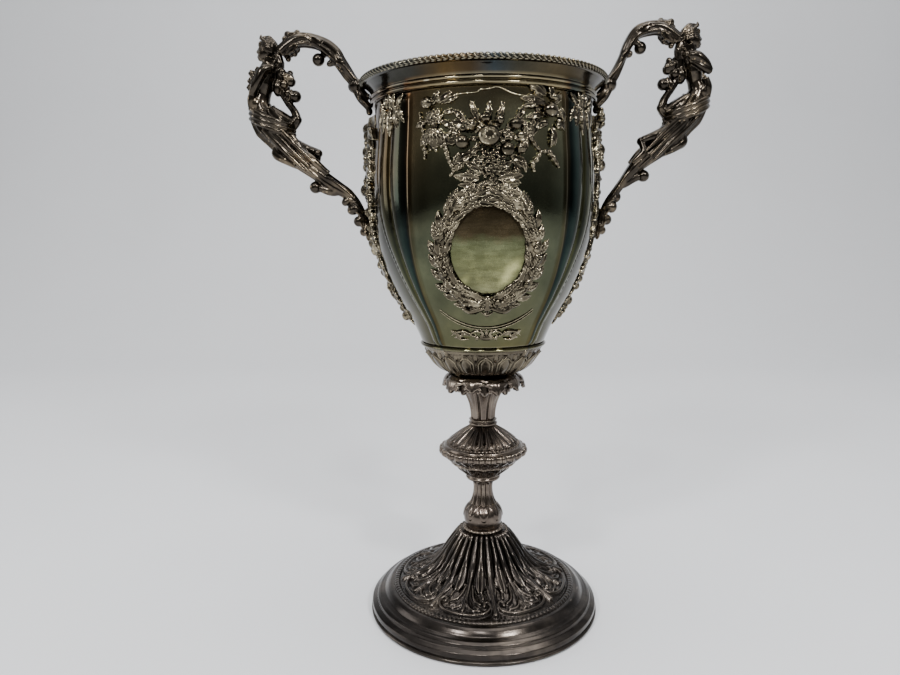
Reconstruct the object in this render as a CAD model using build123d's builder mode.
from build123d import *
import math
import os

# Two-handled presentation cup in plated white metal.  Z is the axis of the cup, Z = 0 is the
# surface it stands on, the plates face -Y and +Y, and the handles stand out along +X and -X.

# ---------------------------------------------------------------- driving dimensions (mm)
WALL = 1.2  # spun and stamped sheet

FOOT_R = 75.75  # outside of the wired foot
FOOT_WIRE_H = 3.0
SHELF_Z = 17.4  # flat shelf that carries the bead ring and the dome
BEAD_RING_R = 58.4
BEAD_R = 1.7
DOME_TOP_Z = 53.4

BULB_Z = 55.4  # lowest edge of each turned piece of the stem
NECK_Z = 71.2
KNOP_Z = 87.5
BELT_Z = 99.4
KNOP_CAP_Z = 110.8
COLLAR_Z = 124.8
TRUMPET_Z = 129.6
CALYX_Z = 160.0
CALYX_TOP_Z = 178.8

BOWL_Z = 181.2  # raised bowl, from the calyx ring to the neck moulding
NECK_MOULDING_Z = 326.5
RIM_BAND_Z = 331.7
BEADING_Z = 338.2
BEADING_R = 1.55
RIM_R = 75.2  # outside of the beading
RIM_TOP_Z = 341.3

ROD_R = 3.0  # tie rod that draws foot and stem up to the bowl
BORE_R = 3.4
ROD_Z = 42.0
ROD_TOP_Z = 158.0
BOSS_R = 7.5
BOSS_Z = 146.0
WASHER_R = 9.0
WASHER_H = 1.5
NUT_ACROSS_FLATS = 10.0
NUT_H = 5.2

PLATE_Z = 240.0  # centre of the oval plate and of its wreath
PLATE_HALF_W = 21.5
PLATE_HALF_H = 24.8
PLATE_T = 1.0
WREATH_HALF_W = 26.5  # centre line of the wreath's leaves
WREATH_HALF_H = 30.5
WREATH_LEAVES = 26
WREATH_T = 4.0
FESTOON_T = 5.0
GARLAND_T = 5.0

CAP_ANGLES = (50, 130, 230, 310)  # acanthus caps under the rim
CAP_W = 9.0
CAP_T = 3.0
CAP_LOW_Z = 309.0
CAP_TOP_Z = 326.0

# A handle is bent a little in use: the left one hangs out and down, the right one in and up.
BEND_OUT = 2.2
BEND_UP = 2.8

LEFT, RIGHT = -1, 1

# Outline of the bowl, radius and height, from the calyx ring up to the neck moulding.
BOWL_OUTLINE = [
    (39.2, BOWL_Z),
    (45.6, 195.4),
    (54.2, 210.5),
    (61.2, 226.3),
    (66.6, 245.0),
    (68.9, 268.0),
    (68.6, 290.0),
    (67.2, 308.0),
    (66.4, NECK_MOULDING_Z),
]


# ---------------------------------------------------------------- helpers
def sheet_outline(*points, depth=WALL):
    """Edges of the cross-section of a curved sheet with level ends.

    One face follows the points, listed upwards; the other lies depth nearer to the axis.
    """
    other = []
    last = len(points) - 1
    for index, (r, z) in enumerate(points):
        r0, z0 = points[max(index - 1, 0)]
        r1, z1 = points[min(index + 1, last)]
        run, rise = r1 - r0, z1 - z0
        length = math.hypot(run, rise)
        if index in (0, last):
            other.append((r - depth * length / rise, z))
        else:
            other.append((r - depth * rise / length, z + depth * run / length))
    with BuildLine() as outline:
        Spline(*points)
        Spline(*other)
        Line(points[0], other[0])
        Line(points[last], other[last])
    return outline.edges()


def disc_profile(inner_r, outer_r, top):
    """Cross-section of a flat sheet disc, given the height of its top."""
    with Locations(((inner_r + outer_r) / 2, top - WALL / 2)):
        Rectangle(outer_r - inner_r, WALL)


def cast_outline(*points):
    """Edges of the cross-section of a cast piece with a round outside and the rod's bore."""
    (_, low), (_, high) = points[0], points[-1]
    with BuildLine() as outline:
        Spline(*points)
        Polyline(points[-1], (BORE_R, high), (BORE_R, low), points[0])
    return outline.edges()


def handle_point(side, x, z, give=1.0, y=0.0):
    """Point of a handle; give says how much of the bend reaches it."""
    bend = side * give
    return (side * (x - bend * BEND_OUT), y, z + bend * BEND_UP)


def limb(side, radii, *knots):
    """Round limb of a handle through (x, z, give) knots, its radii evenly spread along it."""
    with BuildLine() as centre_line:
        Spline(*[handle_point(side, x, z, give) for x, z, give in knots])
    route = centre_line.wire()
    sections = []
    for index, radius in enumerate(radii):
        share = index / (len(radii) - 1)
        with BuildSketch(Plane(origin=route @ share, z_dir=route % share)) as section:
            Circle(radius)
        sections.append(section.sketch.face())
    sweep(sections, path=route, multisection=True)


def knob(side, x, z, radius, give=1.0):
    """Ball of a handle: a bud, a curl, a head or a knee."""
    with Locations(handle_point(side, x, z, give)):
        Sphere(radius)


def cut(*tools):
    """Take finished pieces away from the part that is open."""
    for tool in tools:
        add(tool.part, mode=Mode.SUBTRACT)


# ---------------------------------------------------------------- foot
with BuildPart() as foot_wire:
    with BuildSketch(Plane.XZ):
        with BuildLine():
            Polyline((71, FOOT_WIRE_H), (71, 0), (FOOT_R - 0.8, 0))
            ThreePointArc((FOOT_R - 0.8, 0), (FOOT_R, 1.5), (FOOT_R - 0.8, FOOT_WIRE_H))
            Line((FOOT_R - 0.8, FOOT_WIRE_H), (71, FOOT_WIRE_H))
        make_face()
    revolve(axis=Axis.Z)

# Stepped moulding: an upright, two rounded steps, and the inner shelf.
with BuildPart() as foot_moulding:
    with BuildSketch(Plane.XZ):
        with BuildLine():
            FilletPolyline(
                (74.8, FOOT_WIRE_H),
                (74.8, 7.4),
                (72.2, 8.8),
                (71.4, 11.0),
                (66.2, 13.2),
                (64.2, 16.0),
                (61.6, SHELF_Z),
                (54.0, SHELF_Z),
                radius=0.8,
            )
            offset(amount=WALL, side=Side.LEFT)
        make_face()
    revolve(axis=Axis.Z)

with BuildPart() as foot_bead_ring:
    with BuildSketch(Plane.XZ):
        with Locations((BEAD_RING_R, SHELF_Z + 1.3)):
            Circle(BEAD_R)
        with Locations((BEAD_RING_R, SHELF_Z - BEAD_R)):
            Rectangle(4 * BEAD_R, 2 * BEAD_R, mode=Mode.SUBTRACT)
    revolve(axis=Axis.Z)

# Leaf-chased dome, hollow sheet, with a flat crown that the tie rod passes through.
with BuildPart() as foot_dome:
    with BuildSketch(Plane.XZ):
        make_face(sheet_outline(
            (56.6, SHELF_Z),
            (46.0, 24.0),
            (35.0, 31.2),
            (27.0, 38.4),
            (20.6, 45.8),
            (15.9, 51.0),
            (12.6, DOME_TOP_Z),
        ))
        disc_profile(BORE_R, 12.6, DOME_TOP_Z)
    revolve(axis=Axis.Z)

# ---------------------------------------------------------------- stem
with BuildPart() as bulb_bead_ring:
    with BuildSketch(Plane.XZ):
        make_face(cast_outline((11.2, DOME_TOP_Z), (12.0, (DOME_TOP_Z + BULB_Z) / 2), (11.2, BULB_Z)))
    revolve(axis=Axis.Z)

with BuildPart() as stem_bulb:
    with BuildSketch(Plane.XZ):
        make_face(cast_outline((10.8, BULB_Z), (12.3, 58.5), (12.9, 62.8), (11.8, 67.5), (8.6, NECK_Z)))
    revolve(axis=Axis.Z)

with BuildPart() as stem_neck:
    with BuildSketch(Plane.XZ):
        make_face(cast_outline((8.6, NECK_Z), (6.4, 76.9), (5.75, 82.4), (6.1, 85.2), (7.2, KNOP_Z)))
    revolve(axis=Axis.Z)

with BuildPart() as knop_lower:
    with BuildSketch(Plane.XZ):
        make_face(sheet_outline((7.2, KNOP_Z), (11.3, 90.8), (16.0, 96.3), (19.4, BELT_Z)))
    revolve(axis=Axis.Z)

with BuildPart() as knop_belt:
    with BuildSketch(Plane.XZ):
        make_face(sheet_outline((19.4, BELT_Z), (23.6, 102.2), (27.9, 107.8), (26.6, KNOP_CAP_Z)))
    revolve(axis=Axis.Z)

with BuildPart() as knop_upper:
    with BuildSketch(Plane.XZ):
        make_face(sheet_outline((26.6, KNOP_CAP_Z), (20.4, 115.4), (14.0, 120.2), (7.4, COLLAR_Z)))
    revolve(axis=Axis.Z)

with BuildPart() as stem_collar:
    with BuildSketch(Plane.XZ):
        make_face(cast_outline(
            (7.2, COLLAR_Z), (8.6, 125.7), (9.1, 127.2), (8.6, 128.7), (7.2, TRUMPET_Z)
        ))
    revolve(axis=Axis.Z)

with BuildPart() as stem_trumpet:
    with BuildSketch(Plane.XZ):
        make_face(sheet_outline(
            (6.9, TRUMPET_Z),
            (7.2, 134.0),
            (8.5, 139.9),
            (10.8, 145.3),
            (14.6, 151.6),
            (17.8, CALYX_Z - WALL),
        ))
    revolve(axis=Axis.Z)

# ---------------------------------------------------------------- collar of leaves under the bowl
COLLAR_LEAVES = 12

with BuildPart() as leaf_notch:
    with BuildSketch(Plane.YZ):
        with BuildLine():
            Polyline((0, 156.4), (-3.2, 145), (3.2, 145), close=True)
        make_face()
    extrude(amount=2 * FOOT_R)

with BuildPart() as leaf_collar:
    with BuildSketch(Plane.XZ):
        make_face(sheet_outline((26.4, 149.6), (25.2, 154.0), (22.6, 157.4), (18.4, CALYX_Z)))
        disc_profile(BOSS_R, 18.4, CALYX_Z)
    revolve(axis=Axis.Z)
    with PolarLocations(0, COLLAR_LEAVES):
        add(leaf_notch.part, mode=Mode.SUBTRACT)

# ---------------------------------------------------------------- bowl
with BuildPart() as bowl_calyx:
    with BuildSketch(Plane.XZ):
        make_face(sheet_outline((18.4, CALYX_Z), (26.9, 163.9), (34.4, 171.9), (38.6, CALYX_TOP_Z)))
        disc_profile(0, 18.4, CALYX_Z + WALL)
    revolve(axis=Axis.Z)

with BuildPart() as calyx_ring:
    with BuildSketch(Plane.XZ):
        with BuildLine():
            ThreePointArc((38.9, CALYX_TOP_Z), (40.0, 180.0), (38.9, BOWL_Z))
            Polyline((38.9, BOWL_Z), (36.8, BOWL_Z), (36.8, CALYX_TOP_Z), (38.9, CALYX_TOP_Z))
        make_face()
    revolve(axis=Axis.Z)

with BuildPart() as bowl_shell:
    with BuildSketch(Plane.XZ):
        make_face(sheet_outline(*BOWL_OUTLINE))
    revolve(axis=Axis.Z)

# Double moulding round the neck: a ring of sheet with two half-round mouldings outside.
with BuildPart() as neck_moulding:
    with BuildSketch(Plane.XZ):
        with Locations(((65.2 + 68.4) / 2, (NECK_MOULDING_Z + RIM_BAND_Z) / 2)):
            Rectangle(68.4 - 65.2, RIM_BAND_Z - NECK_MOULDING_Z)
        with Locations((68.3, NECK_MOULDING_Z + 1.35)):
            Circle(1.35)
        with Locations((68.5, RIM_BAND_Z - 1.3)):
            Circle(1.3)
    revolve(axis=Axis.Z)

with BuildPart() as rim_band:
    with BuildSketch(Plane.XZ):
        make_face(sheet_outline((68.0, RIM_BAND_Z), (69.4, 334.4), (71.8, 336.8), (73.9, BEADING_Z)))
    revolve(axis=Axis.Z)

with BuildPart() as rim_beading:
    with BuildSketch(Plane.XZ):
        with Locations((RIM_R - BEADING_R, RIM_TOP_Z - BEADING_R)):
            Circle(BEADING_R)
        with Locations((RIM_R - BEADING_R, BEADING_Z - BEADING_R)):
            Rectangle(4 * BEADING_R, 2 * BEADING_R, mode=Mode.SUBTRACT)
    revolve(axis=Axis.Z)

# Solid of everything inside the bowl's outside surface: applied pieces are trimmed with it,
# so that each one sits on the bowl.
with BuildPart() as bowl_core:
    with BuildSketch(Plane.XZ):
        with BuildLine():
            Spline(*BOWL_OUTLINE)
            Polyline(
                BOWL_OUTLINE[-1],
                (69.9, NECK_MOULDING_Z),
                (69.9, RIM_BAND_Z),
                (RIM_R, BEADING_Z),
                (RIM_R, RIM_TOP_Z),
                (0, RIM_TOP_Z),
                (0, BOWL_Z),
                BOWL_OUTLINE[0],
            )
        make_face()
    revolve(axis=Axis.Z)


# ---------------------------------------------------------------- plates and wreaths
def applied(outline, plane, facing, thickness):
    """Casting that hugs the bowl: a band of one thickness, cut to a flat outline."""
    with BuildPart() as casting:
        with BuildSketch(Plane.XZ):
            make_face(sheet_outline(*BOWL_OUTLINE, depth=-thickness))
        revolve(axis=Axis.Z)
        extrude(outline, amount=facing * 2 * FOOT_R, dir=plane.z_dir, mode=Mode.INTERSECT)
    return casting


with BuildSketch(Plane.XZ) as plate_outline:
    with Locations((0, PLATE_Z)):
        Ellipse(PLATE_HALF_W, PLATE_HALF_H)

with BuildSketch(Plane.XZ) as wreath_outline:
    with Locations((0, PLATE_Z)):
        Ellipse(WREATH_HALF_W + 2.2, WREATH_HALF_H + 2.2)
    for leaf in range(WREATH_LEAVES):
        turn = 2 * math.pi * leaf / WREATH_LEAVES
        across = WREATH_HALF_W * math.cos(turn)
        along = PLATE_Z + WREATH_HALF_H * math.sin(turn)
        with Locations(Location((across, along), math.degrees(turn) + 65)):
            Ellipse(4.6, 2.6)
    with Locations((0, PLATE_Z)):
        Ellipse(PLATE_HALF_W, PLATE_HALF_H, mode=Mode.SUBTRACT)

# ---------------------------------------------------------------- fruit festoons and garlands
FESTOON_HALF_W = 31.0  # from the middle to either upper bunch
FESTOON_FRUIT = 13
FESTOON_TOP_Z = 314.0
FESTOON_SAG = 14.0
PENDANT_ROWS = 4
PENDANT_PITCH = 5.2

# Swag of fruit hung from two bunches, with a pendant bunch under its middle.
with BuildSketch(Plane.XZ) as festoon_outline:
    for fruit in range(FESTOON_FRUIT):
        share = 2 * fruit / (FESTOON_FRUIT - 1) - 1
        height = FESTOON_TOP_Z - FESTOON_SAG * (1 - share**2)
        with Locations((share * FESTOON_HALF_W, height)):
            Circle(4.4 + 2.8 * abs(math.cos(share * math.pi)))
    for row in range(PENDANT_ROWS):
        for place in range(PENDANT_ROWS - row):
            across = PENDANT_PITCH * (place - (PENDANT_ROWS - 1 - row) / 2)
            with Locations((across, FESTOON_TOP_Z - FESTOON_SAG - 7.5 - 4.4 * row)):
                Circle(3.2)

GARLAND_TOP_Z = 318.0
GARLAND_LOW_Z = 200.0
GARLAND_FRUIT = 21

# Fruit and leaves down the side of the bowl, under a handle, smaller towards the foot.
with BuildSketch(Plane.YZ) as garland_outline:
    for fruit in range(GARLAND_FRUIT):
        share = fruit / (GARLAND_FRUIT - 1)
        sway = 6.0 * (1 - 0.5 * share) * (-1) ** fruit
        with Locations((sway, GARLAND_TOP_Z + (GARLAND_LOW_Z - GARLAND_TOP_Z) * share)):
            Circle(7.4 - 2.8 * share)

front_plate = applied(plate_outline.sketch, Plane.XZ, 1, PLATE_T)
back_plate = applied(plate_outline.sketch, Plane.XZ, -1, PLATE_T)
front_wreath = applied(wreath_outline.sketch, Plane.XZ, 1, WREATH_T)
back_wreath = applied(wreath_outline.sketch, Plane.XZ, -1, WREATH_T)
front_festoon = applied(festoon_outline.sketch, Plane.XZ, 1, FESTOON_T)
back_festoon = applied(festoon_outline.sketch, Plane.XZ, -1, FESTOON_T)
left_garland_blank = applied(garland_outline.sketch, Plane.YZ, -1, GARLAND_T)
right_garland_blank = applied(garland_outline.sketch, Plane.YZ, 1, GARLAND_T)

# Acanthus caps on the ribs between the front, back and side panels, just under the rim.
with BuildPart() as rim_leaf_caps:
    with BuildSketch(Plane.XZ):
        make_face(sheet_outline(*BOWL_OUTLINE, depth=-CAP_T))
    revolve(axis=Axis.Z)
    with BuildSketch(Plane.XY.offset(CAP_LOW_Z)):
        for angle in CAP_ANGLES:
            with PolarLocations(FOOT_R, 1, start_angle=angle):
                Rectangle(FOOT_R, CAP_W)
    extrude(amount=CAP_TOP_Z - CAP_LOW_Z, mode=Mode.INTERSECT)


# ---------------------------------------------------------------- handles
def upper_branch(side):
    """S-shaped branch from the rim over to the back of the figure's head, with a bud."""
    with BuildPart() as branch:
        limb(
            side,
            (4.0, 3.2, 3.8, 4.2),
            (77.0, 339.6, 0.2),
            (82.4, 346.0, 0.6),
            (89.8, 361.4, 1.0),
            (96.0, 367.0, 1.0),
            (103.4, 369.4, 1.0),
            (110.4, 369.6, 1.0),
            (116.2, 366.4, 1.0),
            (121.4, 361.6, 1.0),
        )
        knob(side, 78.0, 339.8, 4.6, 0.2)
        limb(
            side,
            (2.0, 2.4, 2.8),
            (95.0, 366.0, 1.0),
            (96.6, 362.0, 1.0),
            (98.4, 358.8, 1.0),
        )
        knob(side, 98.6, 358.4, 3.8)
        knob(side, 114.6, 372.0, 3.0)
        cut(bowl_core)
    return branch


def figure(side, branch):
    """Draped figure leaning on the scroll: head, neck, bust, bent arm, skirt and knees."""
    with BuildPart() as body:
        limb(
            side,
            (5.4, 4.6, 5.6, 4.6),
            (129.6, 363.0, 1.0),
            (127.4, 354.0, 1.0),
            (129.6, 345.0, 1.0),
            (134.6, 336.0, 1.0),
            (137.8, 328.0, 1.0),
        )
        knob(side, 129.4, 364.6, 7.2)
        knob(side, 135.2, 369.8, 2.2)
        knob(side, 137.0, 346.6, 4.6)
        knob(side, 138.2, 328.6, 5.0)
        limb(
            side,
            (4.0, 5.2, 3.4),
            (138.2, 327.6, 1.0),
            (128.0, 322.6, 1.0),
            (117.0, 321.4, 1.0),
        )
        limb(
            side,
            (3.8, 3.0, 2.7, 3.1),
            (125.0, 348.0, 1.0),
            (119.8, 338.4, 1.0),
            (114.6, 329.0, 1.0),
            (116.8, 320.0, 1.0),
        )
        knob(side, 118.4, 347.4, 3.9)
        knob(side, 114.4, 337.2, 3.7)
        limb(
            side,
            (7.2, 8.0, 6.9, 4.8),
            (129.6, 323.0, 1.0),
            (122.6, 309.6, 1.0),
            (112.4, 299.2, 1.0),
            (100.6, 288.6, 0.85),
        )
        knob(side, 101.4, 300.0, 3.1, 0.9)
        cut(branch)
    return body


def lower_branch(side, body):
    """Branch from the figure's hem down to the side of the bowl, with a bud and two knobs."""
    with BuildPart() as branch:
        limb(
            side,
            (4.7, 4.2, 3.7, 3.0),
            (100.0, 288.0, 0.85),
            (90.6, 279.8, 0.7),
            (81.6, 270.4, 0.5),
            (75.6, 260.6, 0.3),
            (72.4, 250.6, 0.2),
        )
        limb(
            side,
            (2.4, 3.0, 3.2),
            (90.0, 278.0, 0.8),
            (96.0, 279.6, 0.8),
            (102.4, 281.2, 0.8),
        )
        knob(side, 102.8, 281.4, 3.9, 0.8)
        knob(side, 80.4, 264.2, 3.3, 0.4)
        knob(side, 76.8, 256.4, 3.1, 0.3)
        cut(body, bowl_core)
    return branch


def rim_bracket(side, branch):
    """Three-cornered bracket that props the branch against the neck of the bowl."""
    with BuildPart() as bracket:
        with BuildSketch(Plane.XZ):
            with BuildLine():
                Polyline(
                    (side * 64, 327.0),
                    (side * 64, 340.0),
                    (side * 79.5, 340.0),
                    (side * 79.5, 336.6),
                    (side * 68.5, 327.0),
                    close=True,
                )
            make_face()
        extrude(amount=2.0, both=True)
        cut(branch, bowl_core)
    return bracket


def trimmed(blank, *neighbours):
    """Garland with room for the castings that pass through it."""
    with BuildPart() as casting:
        add(blank.part)
        cut(*neighbours)
    return casting


left_upper_branch, right_upper_branch = upper_branch(LEFT), upper_branch(RIGHT)
left_figure = figure(LEFT, left_upper_branch)
right_figure = figure(RIGHT, right_upper_branch)
left_lower_branch = lower_branch(LEFT, left_figure)
right_lower_branch = lower_branch(RIGHT, right_figure)
left_rim_bracket = rim_bracket(LEFT, left_upper_branch)
right_rim_bracket = rim_bracket(RIGHT, right_upper_branch)
left_garland = trimmed(left_garland_blank, left_lower_branch)
right_garland = trimmed(right_garland_blank, right_lower_branch)

# ---------------------------------------------------------------- tie rod and its fixings
WASHER_Z = DOME_TOP_Z - WALL - WASHER_H
NUT_Z = WASHER_Z - NUT_H

with BuildPart() as tie_rod:
    with BuildSketch(Plane.XY.offset(ROD_Z)):
        Circle(ROD_R)
    extrude(amount=ROD_TOP_Z - ROD_Z)
    chamfer(tie_rod.edges().filter_by(GeomType.CIRCLE), length=0.4)

with BuildPart() as rod_washer:
    with BuildSketch(Plane.XY.offset(WASHER_Z)):
        Circle(WASHER_R)
        Circle(BORE_R, mode=Mode.SUBTRACT)
    extrude(amount=WASHER_H)

with BuildPart() as rod_nut:
    with BuildSketch(Plane.XY.offset(NUT_Z)):
        RegularPolygon(NUT_ACROSS_FLATS / 2, 6, major_radius=False)
        Circle(ROD_R, mode=Mode.SUBTRACT)
    extrude(amount=NUT_H)

# Threaded socket under the bowl, blind, that the rod screws into.
with BuildPart() as bowl_boss:
    with BuildSketch(Plane.XY.offset(BOSS_Z)):
        Circle(BOSS_R)
    extrude(amount=CALYX_Z - BOSS_Z)
    with BuildSketch(Plane.XY.offset(BOSS_Z)):
        Circle(ROD_R)
    extrude(amount=ROD_TOP_Z - BOSS_Z, mode=Mode.SUBTRACT)

# ---------------------------------------------------------------- write the pieces
PIECES = {
    "foot_wire": foot_wire,
    "foot_moulding": foot_moulding,
    "foot_bead_ring": foot_bead_ring,
    "foot_dome": foot_dome,
    "bulb_bead_ring": bulb_bead_ring,
    "stem_bulb": stem_bulb,
    "stem_neck": stem_neck,
    "knop_lower": knop_lower,
    "knop_belt": knop_belt,
    "knop_upper": knop_upper,
    "stem_collar": stem_collar,
    "stem_trumpet": stem_trumpet,
    "leaf_collar": leaf_collar,
    "bowl_calyx": bowl_calyx,
    "calyx_ring": calyx_ring,
    "bowl_shell": bowl_shell,
    "neck_moulding": neck_moulding,
    "rim_band": rim_band,
    "rim_beading": rim_beading,
    "rim_leaf_caps": rim_leaf_caps,
    "front_plate": front_plate,
    "back_plate": back_plate,
    "front_wreath": front_wreath,
    "back_wreath": back_wreath,
    "front_festoon": front_festoon,
    "back_festoon": back_festoon,
    "left_garland": left_garland,
    "right_garland": right_garland,
    "left_upper_branch": left_upper_branch,
    "right_upper_branch": right_upper_branch,
    "left_figure": left_figure,
    "right_figure": right_figure,
    "left_lower_branch": left_lower_branch,
    "right_lower_branch": right_lower_branch,
    "left_rim_bracket": left_rim_bracket,
    "right_rim_bracket": right_rim_bracket,
    "tie_rod": tie_rod,
    "rod_washer": rod_washer,
    "rod_nut": rod_nut,
    "bowl_boss": bowl_boss,
}

os.makedirs("parts", exist_ok=True)
for name, piece in PIECES.items():
    piece.part.label = name
    export_step(piece.part, f"parts/{name}.step")
